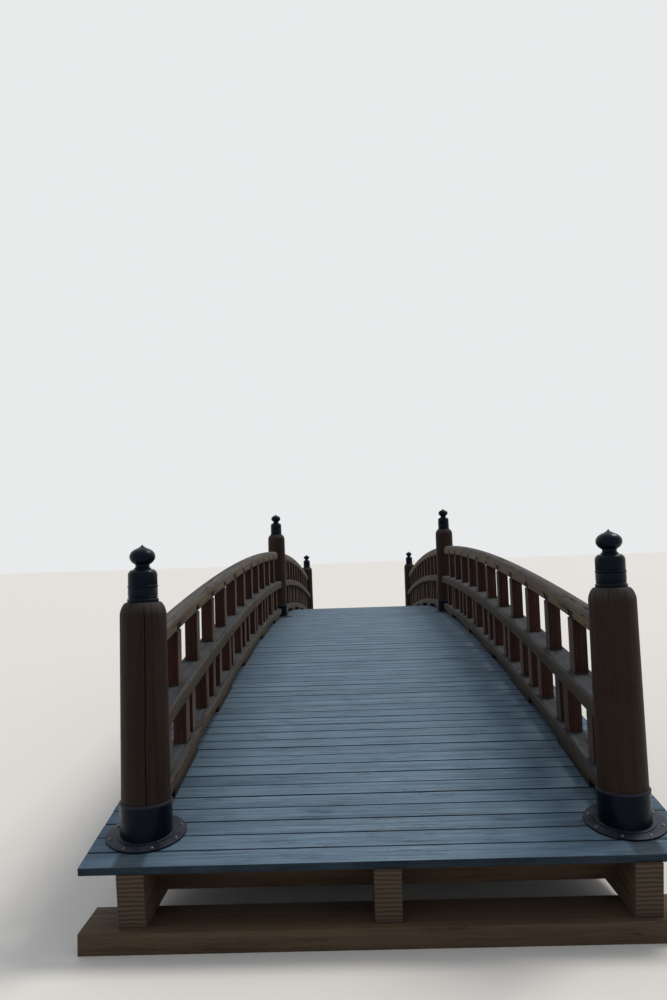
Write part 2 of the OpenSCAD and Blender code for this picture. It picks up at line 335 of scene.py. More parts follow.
class Skin:
    """One mesh in the making. Its UV map runs along the grain and across it, in metres."""

    def __init__(self):
        self.points, self.faces, self.grain, self.slots = [], [], [], []
        # Each point has a tone that differs at random, a grey share of wear and painted sky light, and a dark
        # share of dirt and painted shade.
        self.tone, self.wear, self.soil = [], [], []

    def sweep(self, rings, along, outline, seed, wear=None, soil=None, ends=True):
        """Joins rings of points into a bar. along is each ring's distance, or one for each point."""
        first, count = len(self.points), len(outline)
        girth = girth_of(outline)
        dice = random.Random(seed)
        shift = Vector((dice.uniform(0, 40), dice.uniform(0, 40)))
        tone = dice.random()
        marks = [m if isinstance(m, list) else [m] * count for m in along]
        clean = [0.0] * count
        for i, ring in enumerate(rings):
            self.points.extend(ring)
            self.tone.extend([tone] * count)
            self.wear.extend(wear[i] if wear else clean)
            self.soil.extend(soil[i] if soil else clean)
        for i in range(len(rings) - 1):
            here, there = first + i * count, first + (i + 1) * count
            for j in range(count):
                n = (j + 1) % count
                self.faces.append([here + j, here + n, there + n, there + j])
                corners = ((i, j, j), (i, n, j + 1), (i + 1, n, j + 1), (i + 1, j, j))
                self.grain.extend([Vector((marks[a][b], girth[c])) + shift for a, b, c in corners])
                self.slots.append(0)
        if ends:
            for i in (0, len(rings) - 1):
                self.faces.append([first + i * count + j for j in range(count)])
                self.grain.extend([Vector(p) + shift for p in outline])
                self.slots.append(1)

    def make(self, name, materials, slot, nodes, smooth=40):
        """Turns the skin into an object that rides on the bridge and stands for the frame's nodes."""
        mesh = bpy.data.meshes.new(name)
        mesh.from_pydata(self.points, [], self.faces)
        grain = mesh.uv_layers.new(name="grain")
        grain.data.foreach_set("uv", [c for uv in self.grain for c in uv])
        mesh.polygons.foreach_set("material_index", self.slots)
        # The grey share paints sky light as well as wear, and the dark share paints shade as well as dirt.
        for label, values in (("tone", self.tone), ("wear", self.wear), ("soil", self.soil)):
            mesh.attributes.new(label, "FLOAT", "POINT").data.foreach_set("value", values)
        clean = bmesh.new()
        clean.from_mesh(mesh)
        bmesh.ops.remove_doubles(clean, verts=clean.verts, dist=1e-5)
        bmesh.ops.dissolve_degenerate(clean, edges=clean.edges, dist=1e-6)
        bmesh.ops.recalc_face_normals(clean, faces=clean.faces)
        clean.to_mesh(mesh)
        clean.free()
        mesh.polygons.foreach_set("use_smooth", [True] * len(mesh.polygons))
        mesh.set_sharp_from_angle(angle=math.radians(smooth))
        for material in materials:
            mesh.materials.append(material)
        piece = placed(name, mesh)
        if nodes:
            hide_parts(*nodes)
        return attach(piece, "root")


# Materials
# Sizes of their patterns in millimetres, along the grain and across it. 1000 / n is n to the metre.
CRACK_MM = (1000 / 1.6, 1000 / 42)
CRACK_PATCH_MM = (1000 / 3.1, 1000 / 3.1)
WEATHER_MM = (1000 / 1.35, 1000 / 4.8)
BLOTCH_MM = 1000 / 9
RIPPLE_MM = 1000 / 160
SPANGLE_MM = 1000 / 260


def scale_of(size_mm):
    """The scale at which a pattern comes out at that size."""
    return 1 / (size_mm * MM)


def feed(tree, node, feeds):
    """Gives named or numbered inputs of a node a socket or a value each."""
    for key, value in feeds.items():
        if isinstance(value, bpy.types.NodeSocket):
            tree.links.new(value, node.inputs[key])
        else:
            node.inputs[key].default_value = value


def add(tree, kind, feeds=None, out=None, **options):
    """Adds a node, sets its options, feeds its inputs, and gives its first output or the one named."""
    made = tree.nodes.new(kind)
    for key, value in options.items():
        setattr(made, key, value)
    feed(tree, made, feeds or {})
    return next((socket for socket in made.outputs if socket.enabled and out in (None, socket.name)), None)


def blank(name):
    """A new material with an empty node tree, its shader and its output."""
    material = bpy.data.materials.new(name)
    material.use_nodes = True
    tree = material.node_tree
    tree.nodes.clear()
    surface = add(tree, "ShaderNodeBsdfPrincipled")
    add(tree, "ShaderNodeOutputMaterial", {"Surface": surface})
    return material, tree, surface.node


def drawn_out(tree, along_mm, across_mm, **noise):
    """Noise in patches that are so long along the grain and so wide across it."""
    place = add(tree, "ShaderNodeUVMap", uv_map="grain")
    scale = (scale_of(along_mm), scale_of(across_mm), 1)
    stretched = add(tree, "ShaderNodeMapping", {"Vector": place, "Scale": scale})
    return add(tree, "ShaderNodeTexNoise", {"Vector": stretched, "Scale": 1.0, **noise})


def timber(name, light, dark, bare, figure_mm, fibre_mm, roughness, bleach=0.3, crack=0.6, bump_mm=1.2,
           specular=0.22):
    """Sawn softwood, stained or weathered: a long figure, fine fibres and drying cracks with painted shade,
    worn grey wood with painted sky light, and dirty patches with painted shade.
    """
    material, tree, shader = blank(name)
    tone, wear, soil = [add(tree, "ShaderNodeAttribute", out="Fac", attribute_name=label)
                        for label in ("tone", "wear", "soil")]

    # The figure of the growth rings is forty times longer than it is wide.
    figure = drawn_out(tree, 40 * figure_mm, figure_mm, Detail=4.0, Roughness=0.6, Distortion=0.5)
    # Fibres are too fine to show, so they are drawn a few millimetres wide.
    fibre = drawn_out(tree, 60 * fibre_mm, fibre_mm, Detail=3.0, Roughness=0.7)
    mixed = add(tree, "ShaderNodeMath", {0: figure, 1: fibre}, operation="ADD")

    # Drying cracks are thin and long, and come in patches. Their dark colour is painted shade inside them.
    cells = drawn_out(tree, *CRACK_MM, Detail=2.0, Roughness=0.5, Distortion=0.2)
    line = add(tree, "ShaderNodeMath", {0: cells, 1: 0.5}, operation="SUBTRACT")
    thin = add(tree, "ShaderNodeMath", {0: line}, operation="ABSOLUTE")
    opened = add(tree, "ShaderNodeMapRange", {"Value": thin, "From Max": 0.016, "To Min": 1.0, "To Max": 0.0})
    patch = drawn_out(tree, *CRACK_PATCH_MM, Detail=1.0)
    chosen = add(tree, "ShaderNodeMapRange", {
        "Value": patch, "From Min": 0.46, "From Max": 0.56, "To Max": crack})
    cracks = add(tree, "ShaderNodeMath", {0: opened, 1: chosen}, operation="MULTIPLY")

    # Weather fades broad patches, drawn out along the grain, and each piece its own way.
    weather = drawn_out(tree, *WEATHER_MM, Detail=4.0, Roughness=0.65)
    toned = add(tree, "ShaderNodeMath", {0: tone, 1: 0.34, 2: mixed}, operation="MULTIPLY_ADD")
    patchy = add(tree, "ShaderNodeMath", {0: weather, 1: 2 * bleach, 2: toned}, operation="MULTIPLY_ADD")
    level = add(tree, "ShaderNodeMapRange", {
        "Value": patchy, "From Min": 0.82 + bleach * 0.6, "From Max": 1.5 + bleach * 1.4})
    stained = add(tree, "ShaderNodeMix", {"Factor": level, "A": dark, "B": light}, data_type="RGBA")

    # Where the piece is worn the stain goes thread by thread, and bare wood shows. The same grey also
    # paints sky light on tops, shoulders and the balusters' inner faces.
    streaks = add(tree, "ShaderNodeMath", {0: fibre, 1: 0.7, 2: weather}, operation="MULTIPLY_ADD")
    rubbed_and_lit = add(tree, "ShaderNodeMath", {0: wear, 1: 0.9, 2: streaks}, operation="MULTIPLY_ADD")
    stripped_and_lit = add(tree, "ShaderNodeMapRange", {
        "Value": rubbed_and_lit, "From Min": 1.0, "From Max": 1.7, "To Max": 0.92})
    furrow = add(tree, "ShaderNodeMapRange", {"Value": mixed, "From Min": 0.78, "From Max": 1.2})
    silver = add(tree, "ShaderNodeMix", {
        "Factor": furrow, "A": shaded(bare, 0.5), "B": shaded(bare, 1.15)}, data_type="RGBA")
    base = add(tree, "ShaderNodeMix", {"Factor": stripped_and_lit, "A": stained, "B": silver}, data_type="RGBA")

    # The marked parts go darker: dirt and damp where they gather, and painted shade in the open joints,
    # pockets, recesses and under the rails. The cracks are darker still.
    uneven = add(tree, "ShaderNodeMapRange", {
        "Value": weather, "From Min": 0.35, "From Max": 0.6, "To Min": 0.72, "To Max": 1.0})
    grime_and_shade = add(tree, "ShaderNodeMath", {0: soil, 1: uneven}, operation="MULTIPLY")
    grimed_and_shaded = add(tree, "ShaderNodeMix", {
        "Factor": grime_and_shade, "A": base, "B": shaded(dark, 0.22)}, data_type="RGBA")
    scored = add(tree, "ShaderNodeMix", {
        "Factor": cracks, "A": grimed_and_shaded, "B": shaded(dark, 0.14)}, data_type="RGBA")

    matt = add(tree, "ShaderNodeMapRange", {
        "Value": rubbed_and_lit, "From Min": 0.7, "From Max": 1.7,
        "To Min": roughness - 0.08, "To Max": min(roughness + 0.2, 0.92)})
    height = add(tree, "ShaderNodeMath", {0: cracks, 1: -3.0, 2: mixed}, operation="MULTIPLY_ADD")
    relief = add(tree, "ShaderNodeBump", {"Height": height, "Distance": bump_mm * MM, "Strength": 0.8})
    # Open pores and loose fibres scatter what a smooth coat would reflect, so the specular level is low.
    feed(tree, shader, {
        "Base Color": scored, "Roughness": matt, "Normal": relief, "Specular IOR Level": specular})
    return material


def end_grain(name, light, dark):
    """Cross-cut end of a timber: growth rings round a pith outside the piece, darker than the face."""
    material, tree, shader = blank(name)
    place = add(tree, "ShaderNodeUVMap", uv_map="grain")
    # Real rings are a few millimetres apart. At this scale they are 22 mm apart, so that they show.
    rings = add(tree, "ShaderNodeTexWave", {
        "Vector": place, "Scale": 14.0, "Distortion": 2.0, "Detail": 2.0, "Detail Scale": 1.0},
        out="Fac", wave_type="RINGS")
    tint = add(tree, "ShaderNodeMix", {
        "Factor": rings, "A": shaded(dark, 0.6), "B": [(a + b) / 2 for a, b in zip(light, dark)]},
        data_type="RGBA")
    feed(tree, shader, {"Base Color": tint, "Roughness": 0.85})
    return material


def wood(name, kind, **look):
    """The two materials of a timber, its faces and its cut ends, in the three colours of its kind."""
    tints = settings("colour")
    light, dark, bare = [getattr(tints, f"{kind}_{shade}") for shade in ("light", "dark", "grey")]
    return timber(name, light, dark, bare, **look), end_grain(f"{name}_end", light, dark)


def coated_iron(name, coat, roughness, dust_and_sky_share):
    """Black satin coat on cast or rolled iron: an even skin with faint ripples, and a bluish dusty film on
    what faces up that also paints the sky reflection there.
    """
    material, tree, shader = blank(name)
    place = add(tree, "ShaderNodeTexCoord", out="Object")
    blotch = add(tree, "ShaderNodeTexNoise", {
        "Vector": place, "Scale": scale_of(BLOTCH_MM), "Detail": 4.0, "Roughness": 0.6})
    ripple = add(tree, "ShaderNodeTexNoise", {"Vector": place, "Scale": scale_of(RIPPLE_MM), "Detail": 2.0})
    facing = add(tree, "ShaderNodeNewGeometry", out="Normal")
    up = add(tree, "ShaderNodeSeparateXYZ", {"Vector": facing}, out="Z")
    settled_and_sky_lit = add(tree, "ShaderNodeMapRange", {"Value": up, "From Min": 0.35, "To Max": dust_and_sky_share})
    patchy = add(tree, "ShaderNodeMapRange", {
        "Value": blotch, "From Min": 0.38, "From Max": 0.68, "To Min": 0.35, "To Max": 1.0})
    cover = add(tree, "ShaderNodeMath", {0: settled_and_sky_lit, 1: patchy}, operation="MULTIPLY")
    tint = add(tree, "ShaderNodeMix", {
        "Factor": cover, "A": coat, "B": settings("colour").dust}, data_type="RGBA")
    matt = add(tree, "ShaderNodeMapRange", {
        "Value": blotch, "From Min": 0.3, "From Max": 0.7,
        "To Min": roughness - 0.06, "To Max": roughness + 0.12})
    relief = add(tree, "ShaderNodeBump", {"Height": ripple, "Distance": 0.3 * MM, "Strength": 0.35})
    # The bluish coat and the blue specular tint paint reflected sky into the iron.
    feed(tree, shader, {
        "Base Color": tint, "Roughness": matt, "Normal": relief, "Specular IOR Level": 0.15,
        "Specular Tint": (0.5, 0.68, 1.0, 1.0)})
    return material


def zinc(name, tint):
    """Galvanised steel of the bolts and screws: dull, spangled grey metal."""
    material, tree, shader = blank(name)
    place = add(tree, "ShaderNodeTexCoord", out="Object")
    spangle = add(tree, "ShaderNodeTexVoronoi", {"Vector": place, "Scale": scale_of(SPANGLE_MM)})
    shade = add(tree, "ShaderNodeMix", {
        "Factor": spangle, "A": tint, "B": shaded(tint, 0.6)}, data_type="RGBA")
    feed(tree, shader, {"Base Color": shade, "Metallic": 0.8, "Roughness": 0.5})
    return material


# Deck
def stray(dice, most):
    """A chance distance of up to so many millimetres either way."""
    return dice.uniform(-most, most) * MM


def build_deck():
    """Crosswise boards laid over the arch, each a little off its neighbours, and their screws."""
    deck = settings("deck")
    reach = DECK_ARC.along(HALF_LENGTH)
    count = round(2 * reach / deck.board_pitch)
    pitch = 2 * reach / count
    boards, screws = Skin(), Skin()
    dice = random.Random(11)
    for k in range(count):
        along = (k + 0.5) * pitch - reach
        wide = pitch - deck.board_gap + stray(dice, 1.5)
        sink = dice.uniform(0.0, 1.8) * MM
        deck_board(boards, along, wide, sink, dice, seed=k + 100)
        board_screws(screws, along, wide, sink, dice, seed=f"screw {k}")
    # The boards' colours carry a blue tint of painted sky reflection.
    face = wood("silvered_deck_board", "deck", figure_mm=26, fibre_mm=3.5, roughness=0.7, bleach=0.42)
    metal = zinc("weathered_screw", settings("colour").screw)
    boards.make("deck_boards", face, "deck_wood", ["deck"])
    screws.make("deck_screws", (metal, metal), "black_metal", [])


def deck_board(skin, along, wide, sink, dice, seed):
    """One board, tipped, bowed and sawn a little off its neighbours, worn inside, and dark at its sides
    and edges: partly dirty, mostly painted shade of the open joints.
    """
    deck = settings("deck")
    tip, bow = stray(dice, 0.8), stray(dice, 1.2)
    left = -HALF_DECK + dice.uniform(0.0, 4.0) * MM
    right = HALF_DECK - dice.uniform(0.0, 4.0) * MM
    half, low, edge = wide / 2, -deck.board_depth, 1.5 * deck.board_round
    outline = outline_of([(half, low, 2 * MM), (half, -sink, deck.board_round), (half - edge, -sink, 0)])
    centre, forward, normal = DECK_ARC.stand(along)
    trodden = 0.75
    rings, marks, wear, soil = [], [], [], []
    for x, damp in [(left, 0.0)] + dirt_across() + [(right, 0.0)]:
        inward = 1 - (x / HALF_DECK) ** 2
        lean = min(tip * x / HALF_DECK, 0.0)
        rings.append([centre + Vector((x, 0, 0)) + forward * (p.x + bow * inward) + normal * (p.y + lean)
                      for p in outline])
        marks.append(x)
        wear.append([trodden * inward if p.y > low / 2 else 0.0 for p in outline])
        # Sides and arrises are painted dark: the shade down in the open joints, with some dirt.
        soil.append([damp if abs(p.x) < half - 0.9 * edge else 1.0 for p in outline])
    skin.sweep(rings, marks, outline, seed, wear=wear, soil=soil)


def dirt_across():
    """Places across a board and how much darker it is there: not at all in the middle, more near the rails
    and most under them, partly dirty and wet, partly painted shade of the rails.
    """
    rail = settings("rail")
    inner, outer = RAIL_X - rail.lower_width / 2, RAIL_X + rail.lower_width / 2
    begins, thickens, fade = 400 * MM, 150 * MM, 14 * MM
    # Dirt and damp by the rails and under them, together with painted shade of the rails.
    grimy_and_shaded = [(inner - begins, 0.0), (inner - thickens, 0.22), (inner - fade, 0.4), (inner + fade, 0.85),
             (outer - fade, 0.85), (outer + fade, 0.15)]
    middle = [(x / 10, 0.0) for x in (-6, -3, 0, 3, 6)]
    return [(-x, darkening) for x, darkening in reversed(grimy_and_shaded)] + middle + grimy_and_shaded


def board_screws(skin, along, wide, sink, dice, seed):
    """Two flat screws with hollow heads over each girder, none of them under the flange of a post."""
    radius = settings("deck").screw_head / 2 / MM
    profile = [(radius, -1), (radius * 0.94, 0.5), (radius * 0.45, 0.5), (radius * 0.4, -0.6)]
    centre, forward, normal = DECK_ARC.stand(along)
    slope = -math.tan(along / DECK_ARC.radius)
    from_middle, clear = 0.28 * wide, settings("post").flange_radius + 12 * MM
    for x0 in (-POST_X, 0.0, POST_X):
        for row in (-1, 1):
            spot = centre + forward * (row * from_middle + stray(dice, 3)) - normal * sink
            spot.x = x0 + stray(dice, 14)
            if all(math.hypot(abs(spot.x) - POST_X, spot.y - place * BAY) >= clear for _, place in PLACES):
                lathe(skin, profile, spot, f"{seed} {x0} {row}", sides=10, slope=slope)


# Rails
def post_radius(above):
    """Radius of a post at that height above the deck, shoulder included."""
    post = settings("post")
    straight = POST_TOP - post.shoulder
    if above <= straight:
        foot = -post.shoulder
        return post.foot_radius + (post.top_radius - post.foot_radius) * (above - foot) / (straight - foot)
    up = min(1.0, (above - straight) / post.shoulder)
    fullness = 1.6
    return post.flat_radius + (post.top_radius - post.flat_radius) * (1 - up ** fullness) ** (1 / fullness)


def rail_arcs():
    """Top lines of the top and the middle rails."""
    rail = settings("rail")
    return (Arc.through(CROWN + rail.top_mid, CROWN - RISE + rail.top_end),
            Arc.through(CROWN + rail.middle_mid, CROWN - RISE + rail.middle_end))


def baluster_places():
    """Distances of the upper and the lower balusters from the middle of a bay."""
    rail = settings("rail")
    pitch, count = rail.baluster_pitch, rail.baluster_count
    upper = [(k - (count - 1) / 2) * pitch for k in range(count)]
    groups = (count - 2) // 3
    trios = [(k - (groups - 1) / 2) * 3 * pitch + n * pitch / 2 for k in range(groups) for n in (-1, 0, 1)]
    pairs = [(k - groups / 2) * 3 * pitch + n * pitch / 6 for k in range(groups + 1) for n in (-1, 1)]
    end = (groups + 1) * 1.5 * pitch - pitch / 2
    return upper, sorted(trios + pairs + [-end, end])


def stations_of(cuts, lift):
    """Distances along a rail and how far its underside is cut up there, in pairs at both ends of a cut."""
    step, clear, hair = 0.24, 0.02, 1e-9
    plain = [k * step for k in range(int(BAY / step) + 2)]
    kept = [m for m in plain if all(abs(m - edge) >= clear for cut in cuts for edge in cut)]
    found = [(m, lift if any(start < m < end for start, end in cuts) else 0.0) for m in kept]
    for start, end in cuts:
        found += [(start, 0.0), (start + hair, lift), (end - hair, lift), (end, 0.0)]
    return sorted(found)


def rail_bar(skin, side, way, seed, arc, offset, outline, stations, reach, wear, soil):
    """Bends a rail along its arc, at its offset from the bridge's middle line and up to its two posts.

    A station is a distance and how far the underside is cut up there. reach is a post's radius where the
    rail meets it, and the grey and dark shares go round the outline. The cut faces, in the pockets and the
    drain gaps, are painted dark all over as the shade in them.
    """
    low = min(p.y for p in outline)

    def ring(marks, lift):
        return [arc.point(side * offset + p.x, way * m, max(p.y, low + lift)) for p, m in zip(outline, marks)]

    def end_marks(y0, towards):
        asides = [p.x + side * (offset - POST_X) for p in outline]
        return [arc.along(y0 + towards * math.sqrt(reach ** 2 - aside ** 2), p.y)
                for aside, p in zip(asides, outline)]

    # Cut faces in the pockets and drain gaps are painted dark as the shade there.
    def darkening(lift):
        return [1.0 if lift and p.y < low + lift + HAIR else s for p, s in zip(outline, soil)]

    start, stop = end_marks(0.0, 1), end_marks(BAY, -1)
    inner = [(m, lift) for m, lift in stations if max(start) < m < min(stop)]
    bars = [(start, inner[0][1])] + [([m] * len(outline), lift) for m, lift in inner] + [(stop, inner[-1][1])]
    skin.sweep([ring(marks, lift) for marks, lift in bars], [marks for marks, _ in bars], outline, seed,
               wear=[wear] * len(bars), soil=[darkening(lift) for _, lift in bars])


def bevel_wear_and_light(outline, bevel, top, sides):
    """Worn grey round a bevelled rail, with painted light: most on its top, with painted sky light, some on
    the bevels, as a painted highlight, and least on its sides.
    """
    return [top if p.y > -0.5 * bevel else 0.3 if p.y > -1.3 * bevel else sides for p in outline]


def build_rails():
    """Top, middle and lower rails of the four bays."""
    look = dict(figure_mm=34, fibre_mm=4.5, roughness=0.7, bleach=0.5, crack=1.3, bump_mm=1.6, specular=0.15)
    dry = wood("sun_bleached_rail_timber", "rail", **look)
    # The middle and lower rails are a darker, shaded copy of the rail timber: damp, with painted shade.
    damp = wood("damp_rail_timber", "damp", **look)
    rails = (("top", dry, top_rail()), ("middle", damp, middle_rail()), ("lower", damp, lower_rail()))
    for bay, way, side in each_bay():
        for name, face, shape in rails:
            skin = Skin()
            rail_bar(skin, side, way, f"{bay} {name}", **shape)
            skin.make(f"{bay}_{name}_rail_bar", face, "rail_wood", [f"{bay}_{name}_rail"])


def top_rail():
    """Half round above and upright at its sides, with a pocket for each baluster's tenon below."""
    rail = settings("rail")
    arc = rail_arcs()[0]
    half, deep, corner, line = rail.top_width / 2, rail.top_depth, rail.top_corner, 3 * MM
    outline = outline_of([
        (half, -deep, corner), (half, rail.pocket_height - deep, 0), (half, -half - 2 * line, 0),
        (half, -half - line, 0), (half, 0, half - 0.01 * MM)], steps=8)
    play = rail.baluster_depth / 2 + rail.pocket_play
    middles = [BAY / 2 + c for c in baluster_places()[0]]
    cuts = [(arc.along(y - play, -deep), arc.along(y + play, -deep)) for y in middles]
    # Grey grows up the side and is full on the round: wear, with painted sky light on the top.
    # The lower corners and the line where the round begins are painted dark, as the shade under them.
    full_wear_and_sky_light, wear_and_sky_light_growth, corner_shade, line_shade = 2.2, 48, 0.45, 0.75
    return dict(
        arc=arc, offset=TOP_X, outline=outline, stations=stations_of(cuts, rail.pocket_height),
        reach=post_radius(rail.top_mid - deep / 2),
        wear=[min(1.0, max(0.0, full_wear_and_sky_light + wear_and_sky_light_growth * p.y)) for p in outline],
        soil=[corner_shade if p.y < corner / 2 - deep else line_shade * (abs(p.y + half + line) < HAIR)
              for p in outline])


def middle_rail():
    """Flat bar with bevelled upper arrises."""
    rail = settings("rail")
    half, deep, bevel, arris = rail.middle_width / 2, rail.middle_depth, rail.bevel, rail.arris
    outline = outline_of([(half, -deep, arris), (half, -bevel, arris), (half - bevel, 0, arris)])
    return dict(
        arc=rail_arcs()[1], offset=RAIL_X, outline=outline, stations=stations_of([], 0.0),
        reach=post_radius(rail.middle_mid), wear=bevel_wear_and_light(outline, bevel, top=0.95, sides=0.1),
        # Its bottom edge is made a little darker.
        soil=[0.3 if p.y < 5 * MM - deep else 0.0 for p in outline])


def lower_rail():
    """Bar that stands on feet on the deck, with drain gaps between them and at both posts."""
    rail, post = settings("rail"), settings("post")
    half, deep, bevel, arris = rail.lower_width / 2, rail.lower_depth, rail.bevel, rail.arris
    arc = DECK_ARC.raised(deep)
    soffit, splash_and_shade = rail.foot_height - deep, 24 * MM
    clean = soffit + splash_and_shade
    outline = outline_of([(half, -deep, 0), (half, soffit, 0), (half, clean, 0), (half, -bevel, arris),
                          (half - bevel, 0, arris)])
    pitch = BAY / rail.foot_count
    gap = (pitch - rail.foot_length) / 2 * arc.radius / DECK_ARC.radius
    middles = [arc.along(k * pitch, -deep) for k in range(rail.foot_count + 1)]
    return dict(
        arc=arc, offset=RAIL_X, outline=outline,
        stations=stations_of([(m - gap, m + gap) for m in middles], rail.foot_height),
        reach=post.sleeve_radius + post.sleeve_play, wear=bevel_wear_and_light(outline, bevel, top=0.9, sides=0.05),
        # It goes darker down towards the deck: partly splashed dirt, partly painted shade low by the drain
        # gaps.
        soil=[min(1.0, max(0.0, 1.2 * (clean - p.y) / (clean + deep))) for p in outline])


# Balusters
def build_balusters():
    """Upright balusters between the rails: single above, in twos and threes below."""
    rail = settings("rail")
    face = wood("stained_baluster", "baluster", figure_mm=22, fibre_mm=3.5, roughness=0.62, bump_mm=1.0,
                specular=0.12)
    top_arc, middle_arc = rail_arcs()
    upper, lower = baluster_places()
    shelf = middle_arc.height
    soffit = top_arc.raised(-rail.top_depth).height
    pocket = top_arc.raised(rail.pocket_height - rail.top_depth).height
    foot = DECK_ARC.raised(rail.lower_depth).height
    under = middle_arc.raised(-rail.middle_depth).height
    for bay, way, side in each_bay():
        for row, places, low, high in (("upper", upper, shelf, soffit), ("lower", lower, foot, under)):
            skin = Skin()
            for k, c in enumerate(places):
                y0, seed = way * (BAY / 2 + c), f"{bay} {row} {k}"
                baluster(skin, side, y0, rail.baluster_width, low, high, seed)
                if row == "upper":
                    # The tenon in its pocket is painted dark all over, as the shade in the pocket.
                    baluster(skin, side, y0, rail.tenon_width, soffit, pocket, f"{seed} tenon", darkening=1.0)
            skin.make(f"{bay}_{row}_baluster_row", face, "post_wood", [f"{bay}_{row}_balusters"])


def baluster(skin, side, y0, wide, low, high, seed, darkening=0.0):
    """One upright block between two curved faces, given as heights at y. The last argument is how dark its
    sides are painted, as shade.
    """
    rail = settings("rail")
    half, deep, arris = wide / 2, rail.baluster_depth, rail.arris * 0.75
    outline = outline_of([(half, -deep / 2, arris), (half, deep / 2, arris)], steps=2)
    # The inner face is painted pale grey as the sky light falling on it, and the foot ring is worn. Both ends
    # are painted dark as the shade where the baluster meets the rails.
    stripped_and_lit, stained, end_shade = 0.6, 0.06, 0.7
    rings, marks, wear, soil = [], [], [], []
    for share in (0.0, 0.06, 0.35, 0.65, 0.94, 1.0):
        ends = [(low(y0 + p.y), high(y0 + p.y)) for p in outline]
        mark = [bottom + (top - bottom) * share for bottom, top in ends]
        rings.append([Vector((side * RAIL_X + p.x, y0 + p.y, z)) for p, z in zip(outline, mark)])
        marks.append(mark)
        rubbed_and_lit = [share == 0.0 or side * p.x < 1 * MM - half for p in outline]
        wear.append([0.0 if darkening else stripped_and_lit if bare else stained for bare in rubbed_and_lit])
        soil.append([max(darkening, end_shade if share in (0.0, 1.0) else 0.0)] * len(outline))
    skin.sweep(rings, marks, outline, seed, wear=wear, soil=soil)


# Posts
# The drying cracks of each: angle from +X in degrees, depth and width in millimetres, lower and upper end.
CRACKS = {
    "near_left": ((-74, 26, 4.5, 0.0, 1.181), (35, 12, 3.0, 0.2, 0.9), (150, 18, 4.0, 0.3, 1.14)),
    "near_right": ((70, 20, 4.5, 0.1, 1.16), (-25, 9, 2.5, 0.15, 0.6), (190, 12, 3.0, 0.5, 1.1)),
    "middle_left": ((-120, 14, 3.5, 0.2, 1.1), (60, 16, 4.0, 0.1, 1.0)),
    "middle_right": ((-60, 12, 3.0, 0.3, 1.16), (130, 18, 4.0, 0.0, 0.9)),
    "far_left": ((-100, 16, 4.0, 0.1, 1.0), (80, 20, 4.5, 0.2, 1.16)),
    "far_right": ((-45, 14, 3.5, 0.2, 1.1), (100, 22, 5.0, 0.1, 1.16)),
}


def build_posts():
    """Round posts with rounded shoulders, each with its own drying cracks."""
    face = wood("stained_round_post", "post", figure_mm=30, fibre_mm=4, roughness=0.6, bump_mm=1.0,
                specular=0.12)
    for name, foot, slope in each_post():
        skin = Skin()
        post_skin(skin, foot, slope, CRACKS[name], seed=f"{name} post")
        skin.make(f"{name}_post_timber", face, "post_wood", [f"{name}_post"])


def post_spokes(cracks, radius, sides=80):
    """Angles round a post in degrees, each with its crack, if any, and whether it is the crack's floor."""
    marks = []
    for c, (angle, _, width, _, _) in enumerate(cracks):
        half = math.degrees(width * MM / radius / 2)
        marks += [(angle + share * half, c, share == 0.0) for share in (-1.6, -0.9, 0.0, 0.9, 1.6)]
    clear = 360 / sides * 0.6
    plain = [360 * k / sides for k in range(sides)]
    kept = [(a, None, False) for a in plain
            if all(abs((a - mark[0] + 180) % 360 - 180) > clear for mark in marks)]
    return sorted(kept + [(angle % 360, c, floor) for angle, c, floor in marks])


def post_skin(skin, foot, slope, cracks, seed):
    """One post: rings of points from its foot on the flange to the flat under its cap."""
    post = settings("post")
    dice = random.Random(seed)
    phases = [dice.uniform(0, 6.28) for _ in cracks]
    spokes = post_spokes(cracks, post.top_radius)
    turns = [math.radians(angle) for angle, _, _ in spokes]
    outline = [Vector((math.cos(turn), math.sin(turn))) * post.top_radius for turn in turns]
    straight = POST_TOP - post.shoulder
    levels = [straight * k / 30 for k in range(31)]
    levels += [straight + post.shoulder * math.sin(math.radians(10 * k)) for k in range(1, 10)]
    # The shoulder turns grey: worn stain, with painted sky reflection on its upturned face.
    wear_sheen_below, wear_sheen_over, most_wear_and_sheen = 0.03, 0.12, 0.6
    rings, wear = [], []
    for level in levels:
        ring = []
        for angle, crack, floor in spokes:
            radius, wander = post_radius(level), 0.0
            if crack is not None:
                # A crack sways by a degree or two on its way up, and runs out at both ends.
                _, depth, _, low, high = cracks[crack]
                phase = phases[crack]
                wander = 1.3 * math.sin(5.1 * level + phase) + 0.5 * math.sin(17 * level + phase)
                opened = max(0.0, min(1.0, (level - low) / 0.15, (high - level) / 0.1))
                radius -= depth * MM * opened * floor
            turn = math.radians(angle + wander)
            x, y = radius * math.cos(turn), radius * math.sin(turn)
            flange_top = post.flange_depth / math.cos(math.atan(slope)) + slope * y
            ring.append(foot + Vector((x, y, max(level, flange_top) if level > 0 else flange_top)))
        rings.append(ring)
        share = (level - straight + wear_sheen_below) / wear_sheen_over
        wear.append([min(most_wear_and_sheen, max(0.0, share))] * len(spokes))
    skin.sweep(rings, levels, outline, seed, wear=wear)


# Ironwork
# Material slots of a post's base. The first one, 0, is its flange's.
BOLT, SLEEVE, LIP = 1, 2, 3


def lathe(skin, profile, centre, seed, sides=96, slope=0.0, ends=True):
    """Turns a profile of radius and height, in millimetres, round an axis that leans with the deck."""
    lean = Matrix.Rotation(math.atan(slope), 3, "X")
    rings, along, run = [], [], 0.0
    for i, (radius, height) in enumerate(profile):
        if i:
            run += math.dist(profile[i - 1], profile[i]) * MM
        rings.append([centre + lean @ Vector((p.x, p.y, height * MM)) for p in circle(sides, radius * MM)])
        along.append(run)
    skin.sweep(rings, along, circle(sides, profile[0][0] * MM), seed, ends=ends)


